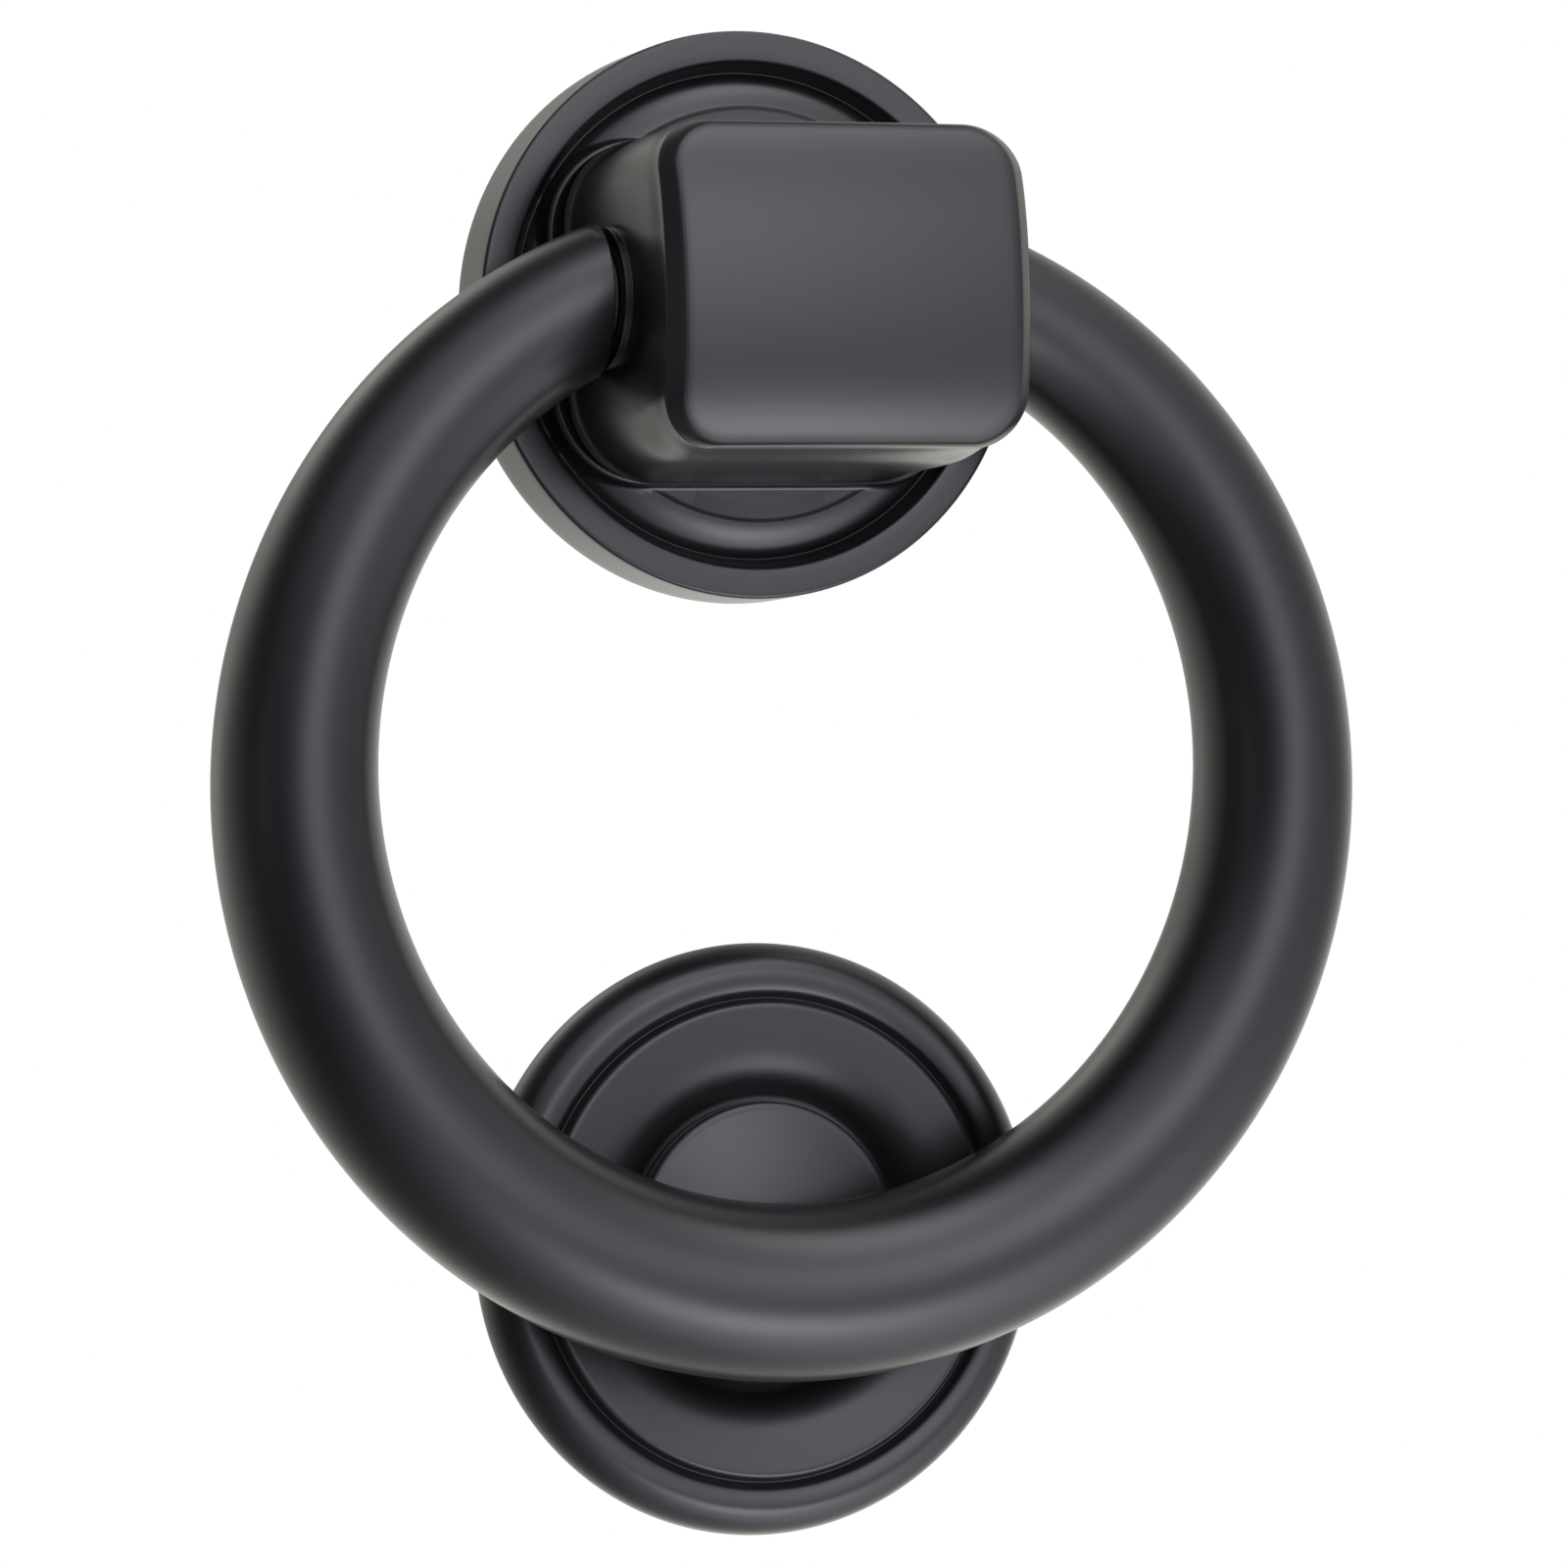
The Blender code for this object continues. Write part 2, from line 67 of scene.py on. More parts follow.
# Places and sizes that the frame gives
PIVOT = Vector(frame["joints"][0]["pos_m"]) / MM
STRIKE_CENTRE, STRIKE_SIZE = size_of("strike_rose")
WASHER_CENTRE, WASHER_SIZE = size_of("upper_washer")
STUD_CENTRE, STUD_SIZE = size_of("upper_stud")
ROSE_RADIUS = size_of("upper_rose")[1].x / 2
STRIKE_RADIUS = STRIKE_SIZE.x / 2
STRIKE_Z = STRIKE_CENTRE.z
BUTTON_RADIUS = size_of("strike_button")[1].x / 2
DOOR_INSIDE = WASHER_CENTRE.y - WASHER_SIZE.y / 2  # y of the door's inside face
STUD_TAIL = STUD_CENTRE.y + STUD_SIZE.y / 2

# Steps round the turned pieces
ROSE_ROUND = 192
BUTTON_ROUND = 144
NUT_ROUND = 144
GASKET_ROUND = 128
WASHER_ROUND = 96
BOSS_ROUND = 96
FLOOR_ROUND = 96
HOLE_ROUND = 48
PIN_HOLE_ROUND = 32
STUD_ROUND = 32

# Edges that bend by more than this many degrees shade as sharp
SHARP = 40
CAST_SHARP = 50
NUT_SHARP = 25

TIP = 0.02  # radius at which a turned piece ends on its axis

# How far each finish rounds off the edges and corners of a turned profile
PAINT_SPREAD = 0.16
SEAT_SPREAD = 0.07
STRIKE_SPREAD = 0.28
BUTTON_SPREAD = 0.1
WASHER_SPREAD = 0.12
GASKET_SPREAD = 0.06

# Both roses: the shallow recess in the back, which takes the gasket
RECESS_RADIUS = 25.6
RECESS_DEPTH = 1.0

# Upper rose, and the seat that stands on it for the block
ROSE_HOLE = 3.3
SEAT = (22.2, 17.45, 9.8)  # half width, half height, corner radius
SEAT_FILLET = 0.5
SEAT_FILLET_STEPS = 6
SEAT_REACH = 25  # the seat's farthest point is nearer the rose's middle than this
SEAT_ROOT = 3  # height inside the rose at which the seat's solid begins
SEAT_DIP = 0.03  # the fillet starts this far below the rose's surface, so that the two cross
SEAT_EDGE = [  # (inset, height) over the round edge
    (0, 9.0),
    (0.12, 9.4),
    (0.35, 9.6),
    (0.6, 9.58),
    (1.3, 9.2),
    (1.9, 9.05),
]

# Block: height on its axis, half width, half height and corner radius, from its foot to its face
BLOCK_STATIONS = [
    (9.4, 20.1, 16.75, 8.3),
    (9.5, 20.4, 17.05, 8.5),
    (9.8, 20.6, 17.25, 8.7),
    (10.15, 20.6, 17.25, 8.7),
    (10.4, 20.42, 17.15, 8.7),
    (10.8, 20.2, 17.05, 8.7),
    (11.4, 20.03, 16.95, 8.6),
    (12.2, 19.9, 16.85, 8.4),
    (13.5, 19.74, 16.8, 8.0),
    (16.0, 19.5, 16.75, 7.0),
    (20.0, 19.22, 16.6, 5.7),
    (24.0, 19.02, 16.4, 5.0),
    (28.0, 18.92, 16.15, 4.8),
    (32.0, 18.9, 16.0, 5.0),
    (35.3, 19.03, 16.0, 5.3),
    (35.8, 18.9, 15.97, 5.3),
    (36.35, 18.35, 15.9, 5.1),
    (36.75, 17.92, 15.75, 4.9),
    (37.0, 17.6, 15.5, 4.7),
    (37.12, 17.2, 15.1, 4.4),
]
FACE_TOP = 37.15
FACE_STEPS = 24
CUSHION_X = 0.0018  # the head falls back by these times x squared and z squared,
CUSHION_Z = 0.008
CUSHION_Z_EDGE = 0.00002  # and by this times the fourth power of z
CUSHION_START = 22.0  # the cushion shape and the rise come in between these heights
CUSHION_FULL = 35.0
HEAD_RISE = 0.4  # the head sits this far above the middle of the foot
BLOCK_STUD_HOLE = 3.1

# Outlines of the seat and the block
CORNER_STEPS = 28
FLAT_STEPS = (34, 28)  # along top and bottom, and along the sides

# Bosses on the block's sides, which carry the ring's pins
BOSS_RADIUS = 7.0
BOSS_FACE = 19.75
BOSS_EDGE = 0.06
BOSS_EDGE_STEPS = 5
BOSS_FILLET = (0.04, 0.06)  # least and most
BOSS_FILLET_STEPS = 8
BOSS_FILLET_TOP = BOSS_FACE - 0.1
BOSS_ROOT = 8  # how far from the block's middle the boss's solid begins
BOSS_DIP = 0.04  # the fillet starts this far below the block's side
PIN_BORE = 2.35

# Ring: an ellipse, whose tube is thinner at the top and a little thicker at the sides
RING_HALF_WIDTH = 52.16
RING_HALF_HEIGHT = 51.54
RING_TUBE = 8.03
RING_TAPER = 0.99
RING_SIDE_SWELL = 0.12
RING_DROP = 47.48  # from the pivot down to the centre of the ring
RING_LEAN = math.radians(2.09)
RING_SIDES = 72
RING_STEPS = 300
RING_END = 20.75
RING_END_EDGE = 0.15
RING_END_STEPS = 6
RING_BORE = 3.4
RING_BORE_END = 26.5
RING_BORE_CHAMFER = 0.25
RING_BORE_TIP = 0.05
RING_ACROSS = Vector((1, 0, 0))
RING_UP = Vector((0, -math.sin(RING_LEAN), math.cos(RING_LEAN)))
RING_FRONT = Vector((0, -math.cos(RING_LEAN), -math.sin(RING_LEAN)))
RING_CENTRE = PIVOT - RING_UP * RING_DROP

# Strike rose, and the button that is pressed into it
STRIKE_HOLE = 6.3
BUTTON_UNDER = 2.8
BUTTON_SIDE_TOP = 3.9
BUTTON_DOME_EDGE = 4.4
BUTTON_TOP = 5.9
BUTTON_ROUNDING = 0.8  # how far in from the side the dome begins
BUTTON_DOME_STEPS = 24
SPIGOT_RADIUS = 6.0
SPIGOT_END = 1.3
SOCKET_RADIUS = 3.1  # for the stud, in the spigot
SOCKET_TOP = 4.6

# M6 stud
THREAD_RADIUS = 3.0
THREAD_PITCH = 1.0
THREAD_DEPTH = 0.5
THREAD_STEPS = 8  # rows in each turn
THREAD_SLOPE = 1.25  # flanks steeper than 1 leave the valleys flat
STUD_END_CUT = 0.25  # how far below the thread's root the chamfer on each end starts

# Washer and dome nut
WASHER_HOLE = 3.3
NUT_GAP = 0.3  # between washer and nut
NUT_HOLE = 3.1
NUT_HEX_HEIGHT = 5.0
NUT_ACROSS_FLATS = 10.0
NUT_CHAMFER = 0.45
NUT_FOOT_RADIUS = 4.9
NUT_SHOULDER_RADIUS = 5.0
NUT_PAST_CORNERS = 9  # a radius that cuts nothing off the hexagon
NUT_DOME_RADIUS = 4.75
NUT_DOME_STEPS = 13

# Gaskets
GASKET_HOLES = {"upper": 4.0, "strike": 6.6}
GASKET_PIN_HOLE = 1.55

# Camera
CAMERA_PLACE = Vector((-224.983, -606.946, -62.589)) * MM
CAMERA_YAW = math.radians(20.741)
CAMERA_PITCH = math.radians(1.340)
CAMERA_ROLL = math.radians(-1.719)
CAMERA_LENS = 145.40
CAMERA_SENSOR = 36.0
CAMERA_CLIP = 0.01

# Studio: a round floor, and soft lights all round
FLOOR_RADIUS = 190
FLOOR_LEVELS = (-904, -900)
COOL = (0.95, 0.98, 1.06)
WARM = (1.0, 1.0, 0.94)
LIGHTS = [  # azimuth, elevation, width in degrees, strength, tint
    (20, -41, 8, 5.2, COOL),
    (40, -50, 25, 2.6, COOL),
    (10, 18, 13, 2.7, COOL),
    (10, 0, 11, 0.9, COOL),
    (20, 60, 11, 2.8, COOL),
    (60, 60, 9, 1.6, WARM),
    (30, 38, 26, 1.3, COOL),
    (-30, 42, 17, 0.9, COOL),
    (-160, 40, 12, 1.9, WARM),
    (-130, 28, 12, 0.85, WARM),
    (160, -30, 26, 1.35, WARM),
    (-130, -10, 26, 0.85, WARM),
    (-148, 4, 9, 0.6, WARM),
    (120, 20, 26, 0.95, WARM),
    (-60, 0, 8, 0.4, COOL),
]

# ---------------------------------------------------------------- profiles


def bulge(start, end, rise, steps):
    """Points after start, up to end, on the arc that leaves their chord by rise, to its left."""
    start, end = Vector(start), Vector(end)
    chord = end - start
    left = Vector((-chord.y, chord.x)).normalized()
    radius = (chord.length**2 / 4 + rise**2) / (2 * abs(rise))
    centre = (start + end) / 2 + left * (rise - math.copysign(radius, rise))
    half = math.asin(min(1, chord.length / 2 / radius)) * math.copysign(1, rise)
    away = left * math.copysign(radius, rise)
    angles = [half * (1 - 2 * step / steps) for step in range(1, steps + 1)]
    return [tuple(centre + Matrix.Rotation(angle, 2) @ away) for angle in angles]


def resampled(profile, pitch):
    """An array of points at this pitch along the profile."""
    points = np.array(profile, float)
    along = np.concatenate([[0], np.cumsum(np.linalg.norm(np.diff(points, axis=0), axis=1))])
    even = np.linspace(0, along[-1], int(along[-1] / pitch) + 1)
    return np.stack([np.interp(even, along, points[:, axis]) for axis in (0, 1)], axis=1)


def softened(profile, spread=PAINT_SPREAD, pitch=0.05):
    """The profile with its corners rounded off over this spread, and few points where straight."""
    line = resampled(profile, pitch)
    reach = int(4 * spread / pitch)
    kernel = np.exp(-0.5 * (np.arange(-reach, reach + 1) * pitch / spread) ** 2)
    kernel /= kernel.sum()
    before = 2 * line[0] - line[reach:0:-1]
    after = 2 * line[-1] - line[-2 : -reach - 2 : -1]
    padded = np.concatenate([before, line, after])
    smooth = np.stack([np.convolve(padded[:, axis], kernel, "valid") for axis in (0, 1)], axis=1)
    return thinned(smooth)


def thinned(points, most_bend=math.radians(5), most_step=1.5):
    """The points that keep each bend and each step of the line to about these."""
    kept = [points[0]]
    heading = None
    for point, following in zip(points[1:-1], points[2:]):
        step = following - point
        turn = math.atan2(step[1], step[0])
        if heading is None:
            heading = turn
        bend = abs((turn - heading + math.pi) % (2 * math.pi) - math.pi)
        far = np.linalg.norm(point - kept[-1])
        if bend > most_bend or far > most_step:
            kept.append(point)
            heading = turn
    kept.append(points[-1])
    return [tuple(point) for point in kept]


def rounded_outline(half_width, half_height, corner):
    """(x, z, outward x, outward z) round a rectangle with round corners."""
    points = []
    for quarter in range(4):
        across = 1 if quarter in (0, 3) else -1
        up = 1 if quarter in (0, 1) else -1
        centre = Vector((across * (half_width - corner), up * (half_height - corner)))
        for step in range(CORNER_STEPS + 1):
            angle = RIGHT_ANGLE * (quarter + step / CORNER_STEPS)
            out = Vector((math.cos(angle), math.sin(angle)))
            points.append((*(centre + corner * out), *out))
        along = 2 * ((half_width, half_height)[quarter % 2] - corner)
        steps = FLAT_STEPS[quarter % 2]
        x, z, out_x, out_z = points[-1]
        for step in range(1, steps):
            shift = along * step / steps
            points.append((x - out_z * shift, z + out_x * shift, out_x, out_z))
    return points


def offset(outline, by):
    """(x, z) round the outline, moved outwards."""
    return [(x + by * out_x, z + by * out_z) for x, z, out_x, out_z in outline]


# ---------------------------------------------------------------- meshes


def turns(steps):
    """Angles at even steps, once round."""
    return [2 * math.pi * i / steps for i in range(steps)]


def shade(mesh, sharp):
    """Shades the mesh smooth, apart from edges that bend by more than sharp degrees."""
    mesh.shade_smooth()
    mesh.set_sharp_from_angle(angle=math.radians(sharp))


def skin(name, rows, material, joined=False, sharp=SHARP):
    """A closed mesh through rows of points, capped at both ends or joined last to first."""
    count = len(rows[0])
    verts = [tuple(c * MM for c in point) for row in rows for point in row]
    faces = []
    for row in range(len(rows) if joined else len(rows) - 1):
        here, there = row * count, (row + 1) % len(rows) * count
        for i in range(count):
            j = (i + 1) % count
            faces.append((here + i, here + j, there + j, there + i))
    if not joined:
        faces.append(tuple(range(count)))
        faces.append(tuple(range((len(rows) - 1) * count, len(rows) * count)))
    mesh = bpy.data.meshes.new(name)
    mesh.from_pydata(verts, [], faces)
    bm = bmesh.new()
    bm.from_mesh(mesh)
    bmesh.ops.recalc_face_normals(bm, faces=bm.faces)
    bm.to_mesh(mesh)
    bm.free()
    shade(mesh, sharp)
    obj = bpy.data.objects.new(name, mesh)
    bpy.context.scene.collection.objects.link(obj)
    if material:
        mesh.materials.append(material)
    return obj


def lathe(name, profile, material, z=0.0, steps=ROSE_ROUND, joined=False):
    """A profile of (radius, height) turned about the axis that stands out of the door at z."""
    angles = turns(steps)
    rows = [[(r * math.cos(a), -h, z + r * math.sin(a)) for a in angles] for r, h in profile]
    return skin(name, rows, material, joined)


def combined(obj, others, operation, sharp=CAST_SHARP):
    """Gives obj the mesh of a Boolean with the others, which are then removed."""
    for other in others:
        modifier = obj.modifiers.new("cut", "BOOLEAN")
        modifier.object = other
        modifier.operation = operation
        modifier.solver = "EXACT"
    bpy.context.view_layer.update()
    graph = bpy.context.evaluated_depsgraph_get()
    mesh = bpy.data.meshes.new_from_object(obj.evaluated_get(graph))
    obj.modifiers.clear()
    obj.data = mesh
    for other in others:
        bpy.data.objects.remove(other)
    shade(mesh, sharp)


def place(obj, body, slot, *nodes):
    """obj stands for these CAD nodes and moves with this body. The slot is not used."""
    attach(obj, body)
    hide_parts(*nodes)


# ---------------------------------------------------------------- upper rose


def rose_back(hole):
    """The profile of a rose's back, from its hole over the recess."""
    return [(hole, RECESS_DEPTH), (RECESS_RADIUS, RECESS_DEPTH), (RECESS_RADIUS, 0)]


def rose_front():
    """From the side over the rim, the lip inside it and the moulding, to the flat middle."""
    side, side_top, rim_edge = (28.9, 0.4), (28.85, 7.7), (28.5, 8.0)
    lip_top, lip_edge, lip_foot = (25.9, 8.0), (25.5, 7.6), (24.75, 6.1)
    moulding_top, middle = (21.1, 8.34), (20.9, 8.2)
    profile = [(28.5, 0), side, side_top]
    profile += bulge(side_top, rim_edge, -0.08, 3) + [lip_top]
    profile += bulge(lip_top, lip_edge, -0.1, 3) + [lip_foot]
    profile += bulge(lip_foot, moulding_top, -0.4, 24)
    profile += [middle, (ROSE_HOLE, middle[1])]
    return [(r * ROSE_RADIUS / side[0], h) for r, h in profile]


def seat_rows(front):
    """The seat, from inside the rose through the fillet at its foot to the edge of its top."""
    radii, heights = zip(*reversed([point for point in front if point[0] < SEAT_REACH]))

    def surface(x, z):
        return float(np.interp(math.hypot(x, z), radii, heights))

    outline = rounded_outline(*SEAT)
    rows = [[(x, -SEAT_ROOT, z) for x, z in offset(outline, SEAT_FILLET)]]
    for step in range(SEAT_FILLET_STEPS + 1):
        angle = RIGHT_ANGLE * (1 - step / SEAT_FILLET_STEPS)
        out = SEAT_FILLET * (1 - math.cos(angle))
        lift = SEAT_FILLET * (1 - math.sin(angle)) - (SEAT_DIP if step == 0 else 0)
        rows.append([(x, -surface(x, z) - lift, z) for x, z in offset(outline, out)])
    for inset, height in softened(SEAT_EDGE, SEAT_SPREAD, pitch=0.02):
        rows.append([(x, -height, z) for x, z in offset(outline, -inset)])
    return rows


def make_upper_rose(paint):
    front = softened(rose_front())
    rose = lathe("upper_rose_casting", rose_back(ROSE_HOLE) + front, paint, joined=True)
    combined(rose, [skin("seat", seat_rows(front), paint)], "UNION")
    hole = [(ROSE_HOLE, -1), (ROSE_HOLE, 11)]  # from behind the rose to above the seat
    combined(rose, [lathe("stud_hole", hole, None, steps=HOLE_ROUND)], "DIFFERENCE")
    place(rose, "fixed_parts", "black_powder_coat", "upper_rose")


# ---------------------------------------------------------------- block


def smooth_stations(stations, steps=8):
    """Catmull-Rom curve through the stations."""
    table = np.array(stations)
    padded = np.vstack([2 * table[0] - table[1], table, 2 * table[-1] - table[-2]])
    rows = []
    for i in range(1, len(padded) - 2):
        a, b, c, d = padded[i - 1 : i + 3]
        square, cube = 2 * a - 5 * b + 4 * c - d, 3 * b - a - 3 * c + d
        for step in range(steps):
            t = step / steps
            rows.append(0.5 * (2 * b + (c - a) * t + square * t**2 + cube * t**3))
    rows.append(table[-1])
    return [tuple(map(float, row)) for row in rows]


def cushioned(x, height, z):
    """A point of the block, let back towards the door as the head's cushion shape asks."""
    share = min(1, max(0, (height - CUSHION_START) / (CUSHION_FULL - CUSHION_START)))
    share = share**2 * (3 - 2 * share)
    fall = (CUSHION_X * x**2 + CUSHION_Z * z**2 + CUSHION_Z_EDGE * z**4) * share
    return (x, fall - height, z + HEAD_RISE * share)


def block_rows(stations):
    """From the foot up to the face, then inwards over the face."""
    rows = []
    for height, *sizes in stations:
        rows.append([cushioned(x, height, z) for x, z, _, _ in rounded_outline(*sizes)])
    edge = rounded_outline(*BLOCK_STATIONS[-1][1:])
    for step in range(1, FACE_STEPS + 1):
        left = 1 - step / (FACE_STEPS + 0.5)
        rows.append([cushioned(x * left, FACE_TOP, z * left) for x, z, _, _ in edge])
    return rows


def boss_rows(sign, side):
    """One boss, from inside the block through the fillet at its foot to its face.

    side(height) is the block's half width.
    """

    def point(x, reach, angle):
        return (sign * x, PIVOT.y - reach * math.cos(angle), PIVOT.z + reach * math.sin(angle))

    angles = turns(BOSS_ROUND)
    rows = [[point(BOSS_ROOT, BOSS_RADIUS, a) for a in angles]]
    least, most = BOSS_FILLET
    for step in range(BOSS_FILLET_STEPS + 1):
        bend = RIGHT_ANGLE * (1 - step / BOSS_FILLET_STEPS)
        row = []
        for a in angles:
            room = BOSS_FACE - side(-PIVOT.y + BOSS_RADIUS * math.cos(a))
            fillet = min(most, max(least, 0.5 * room))
            reach = BOSS_RADIUS + fillet * (1 - math.cos(bend))
            wall = side(-PIVOT.y + reach * math.cos(a))
            x = wall + fillet * (1 - math.sin(bend)) - (BOSS_DIP if step == 0 else 0)
            row.append(point(min(x, BOSS_FILLET_TOP), reach, a))
        rows.append(row)
    for step in range(BOSS_EDGE_STEPS + 1):
        bend = RIGHT_ANGLE * step / BOSS_EDGE_STEPS
        radius = BOSS_RADIUS - BOSS_EDGE * (1 - math.cos(bend))
        x = BOSS_FACE - BOSS_EDGE * (1 - math.sin(bend))
        rows.append([point(x, radius, a) for a in angles])
    return rows


def pin_bore():
    """The cutter for the bore along the ring's pivot, a little longer than the block is wide."""
    rows = []
    for x in (-BOSS_FACE - 2, BOSS_FACE + 2):
        rows.append([
            (x, PIVOT.y + PIN_BORE * math.cos(a), PIVOT.z + PIN_BORE * math.sin(a))
            for a in turns(HOLE_ROUND)
        ])
    return skin("bore", rows, None)


def make_block(paint):
    stations = smooth_stations(BLOCK_STATIONS)
    block = skin("ring_block_casting", block_rows(stations), paint)
    heights = [row[0] for row in stations]
    widths = [row[1] for row in stations]

    def side(height):
        return float(np.interp(height, heights, widths))

    for sign in (-1, 1):
        combined(block, [skin("boss", boss_rows(sign, side), paint)], "UNION")
    bore = pin_bore()
    hole = [(BLOCK_STUD_HOLE, 5), (BLOCK_STUD_HOLE, 15)]  # blind, from below the foot
    combined(block, [bore, lathe("stud_hole", hole, None, steps=HOLE_ROUND)], "DIFFERENCE")
    place(block, "fixed_parts", "black_powder_coat", "ring_block")


# ---------------------------------------------------------------- ring


def ring_point(angle, around):
    """The ring's surface where its centreline has turned by angle from +X, and around its tube."""
    cosine, sine = math.cos(angle), math.sin(angle)
    middle = (
        RING_CENTRE
        + RING_ACROSS * RING_HALF_WIDTH * cosine
        + RING_UP * RING_HALF_HEIGHT * sine
    )
    outward = RING_ACROSS * RING_HALF_HEIGHT * cosine + RING_UP * RING_HALF_WIDTH * sine
    outward.normalize()
    radius = RING_TUBE - RING_TAPER * sine + RING_SIDE_SWELL * math.cos(2 * angle)
    return middle + radius * (outward * math.cos(around) + RING_FRONT * math.sin(around))


def end_turn(around, x):
    """The centreline's angle at which the surface reaches this x, on the right-hand end."""
    low, high = math.radians(30), math.radians(88)  # x falls all the way between these
    for _ in range(40):
        middle = (low + high) / 2
        if ring_point(middle, around).x > x:
            low = middle
        else:
            high = middle
    return low


def on_pivot(x):
    """The point of the hinge line at this x."""
    return Vector((x, PIVOT.y, PIVOT.z))


def ring_bore_rows(arounds):
    """From the bore's blind end out to its mouth in the flat end, on the right-hand end."""
    rows = []
    for x, radius in (
        (RING_BORE_END, RING_BORE_TIP),
        (RING_BORE_END, RING_BORE),
        (RING_END + RING_BORE_CHAMFER, RING_BORE),
        (RING_END, RING_BORE + RING_BORE_CHAMFER),
    ):
        row = []
        for around in arounds:
            outward = ring_point(end_turn(around, RING_END), around) - on_pivot(RING_END)
            outward.x = 0
            row.append(on_pivot(x) + outward.normalized() * radius)
        rows.append(row)
    return rows


def ring_end_rows(arounds):
    """From the flat end over its round edge, on the right-hand end."""
    rows = []
    for step in reversed(range(RING_END_STEPS)):
        bend = RIGHT_ANGLE * step / RING_END_STEPS
        x = RING_END + RING_END_EDGE * (1 - math.sin(bend))
        inset = RING_END_EDGE * (1 - math.cos(bend))
        row = []
        for around in arounds:
            point = ring_point(end_turn(around, x), around)
            row.append(point + (on_pivot(x) - point).normalized() * inset)
        rows.append(row)
    return rows


def make_ring(paint):
    arounds = turns(RING_SIDES)
    right_end = ring_bore_rows(arounds) + ring_end_rows(arounds)
    left_end = [[Vector((-p.x, p.y, p.z)) for p in row] for row in reversed(right_end)]
    starts = [end_turn(around, RING_END + RING_END_EDGE) for around in arounds]
    tube = []
    for step in range(RING_STEPS + 1):
        share = step / RING_STEPS
        tube.append([
            ring_point(start + share * (-math.pi - 2 * start), around)
            for start, around in zip(starts, arounds)
        ])
    ring = skin("ring_casting", right_end + tube + left_end, paint)
    place(ring, "ring", "black_powder_coat", "ring")


# ---------------------------------------------------------------- strike rose and button


def strike_front():
    """From the side over two rolls, the groove inside them and the land, down into the cup."""
    side, rolls_meet = (30.1, 0.5), (27.2, 4.85)
    inner_roll_edge, groove_floor, land_edge = (25.3, 4.6), (24.5, 3.7), (23.9, 5.0)
    cup_edge, cup_floor = (21.0, 4.65), (14.6, 2.5)
    profile = [(29.7, 0), side]
    profile += bulge(side, rolls_meet, -0.95, 20)
    profile += bulge(rolls_meet, inner_roll_edge, -0.1, 12)
    profile += bulge(inner_roll_edge, groove_floor, -0.08, 8)
    profile += bulge(groove_floor, land_edge, -0.1, 8) + [cup_edge]
    profile += bulge(cup_edge, cup_floor, -0.5, 24) + [(STRIKE_HOLE, cup_floor[1])]
    return [(r * STRIKE_RADIUS / side[0], h) for r, h in softened(profile, STRIKE_SPREAD)]


def make_strike_rose(paint):
    profile = rose_back(STRIKE_HOLE) + strike_front()
    rose = lathe("strike_rose_casting", profile, paint, STRIKE_Z, joined=True)
    place(rose, "fixed_parts", "black_powder_coat", "strike_rose")


def make_strike_button(paint):
    dome_radius = BUTTON_RADIUS - BUTTON_ROUNDING
    rise = BUTTON_TOP - BUTTON_DOME_EDGE
    sphere = (dome_radius**2 + rise**2) / (2 * rise)
    dome = []
    for step in range(BUTTON_DOME_STEPS + 1):
        radius = max(TIP, dome_radius * (1 - step / BUTTON_DOME_STEPS))
        dome.append((radius, BUTTON_TOP - sphere + math.sqrt(sphere**2 - radius**2)))
    spigot = [
        (TIP, SOCKET_TOP),
        (SOCKET_RADIUS, SOCKET_TOP),
        (SOCKET_RADIUS, SPIGOT_END),
        (SPIGOT_RADIUS, SPIGOT_END),
        (SPIGOT_RADIUS, BUTTON_UNDER),
    ]
    side_top = (BUTTON_RADIUS, BUTTON_SIDE_TOP)
    outside = [spigot[-1], (BUTTON_RADIUS, BUTTON_UNDER), side_top]
    outside += bulge(side_top, dome[0], rise=-0.22, steps=8) + dome[1:]
    profile = spigot + softened(outside, BUTTON_SPREAD)[1:]
    button = lathe("strike_button_casting", profile, paint, STRIKE_Z, BUTTON_ROUND)
    place(button, "fixed_parts", "black_powder_coat", "strike_button")


# ---------------------------------------------------------------- fixings


def threaded_stud(name, front, material, z):
    """A stud with a real helical thread, from its front, a height, to its tail behind the door."""
    length = front + STUD_TAIL
    count = int(length / THREAD_PITCH * THREAD_STEPS)
    root = THREAD_RADIUS - THREAD_DEPTH
    rows = []
    for i in range(count + 1):
        along = length * i / count
        end_limit = root - STUD_END_CUT + min(along, length - along)
        row = []
        for side, angle in enumerate(turns(STUD_ROUND)):
            phase = (along / THREAD_PITCH - side / STUD_ROUND) % 1
            cut = THREAD_DEPTH * min(1, abs(2 * phase - 1) * THREAD_SLOPE)
            r = min(THREAD_RADIUS - cut, end_limit)
            row.append((r * math.cos(angle), -front + along, z + r * math.sin(angle)))
        rows.append(row)
    return skin(name, rows, material, sharp=CAST_SHARP)


